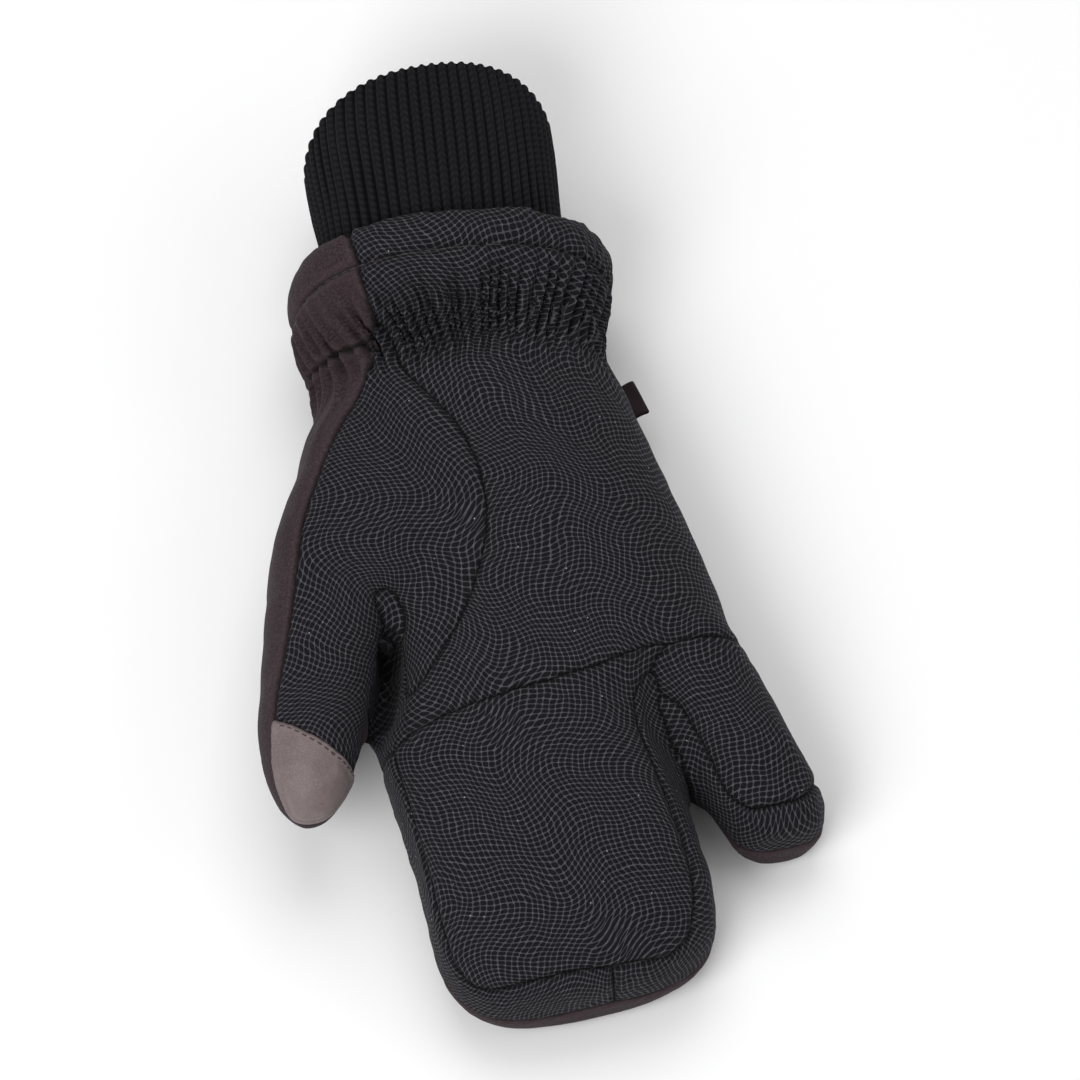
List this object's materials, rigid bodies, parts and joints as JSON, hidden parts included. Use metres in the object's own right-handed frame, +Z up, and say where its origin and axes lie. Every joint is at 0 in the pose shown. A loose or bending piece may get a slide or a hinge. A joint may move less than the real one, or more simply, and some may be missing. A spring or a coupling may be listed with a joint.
{
  "type": "winter glove",
  "caption": "padded winter glove for the right hand, lying palm up, with a thumb, a mitten pocket, a separate little finger, a gathered gauntlet and a rib-knit cuff",
  "frame": {"origin": "middle of the glove's box, on the surface that its back lies on", "axes": "+Y from the fingertips to the cuff, +Z up out of the palm, -X to the thumb"},
  "size_m": [0.156, 0.28, 0.063],
  "materials": {
    "printed_cloth": "dark stretch cloth with a fine pale net over it",
    "brown_softshell": "matt brown knitted softshell",
    "black_rib_knit": "black rib knit",
    "taupe_patch": "smooth taupe cloth with a soft sheen",
    "label_ribbon": "dark brown woven ribbon"
  },
  "bodies": {
    "root": {"knit_cuff": "black_rib_knit", "palm_panel": "printed_cloth", "cuff_back_panel": "brown_softshell", "thumb_palm_panel": "printed_cloth", "thumb_back_panel": "brown_softshell", "thumb_tip_patch": "taupe_patch", "thumb_crotch_gusset": "printed_cloth", "mitten_palm_panel": "printed_cloth", "mitten_gusset_thumb_side": "printed_cloth", "mitten_gusset_finger_side": "printed_cloth", "finger_palm_panel": "printed_cloth", "finger_gusset": "printed_cloth", "finger_back_panel": "brown_softshell", "hand_back_panel": "brown_softshell", "label_loop": "label_ribbon"}
  },
  "joints": []
}
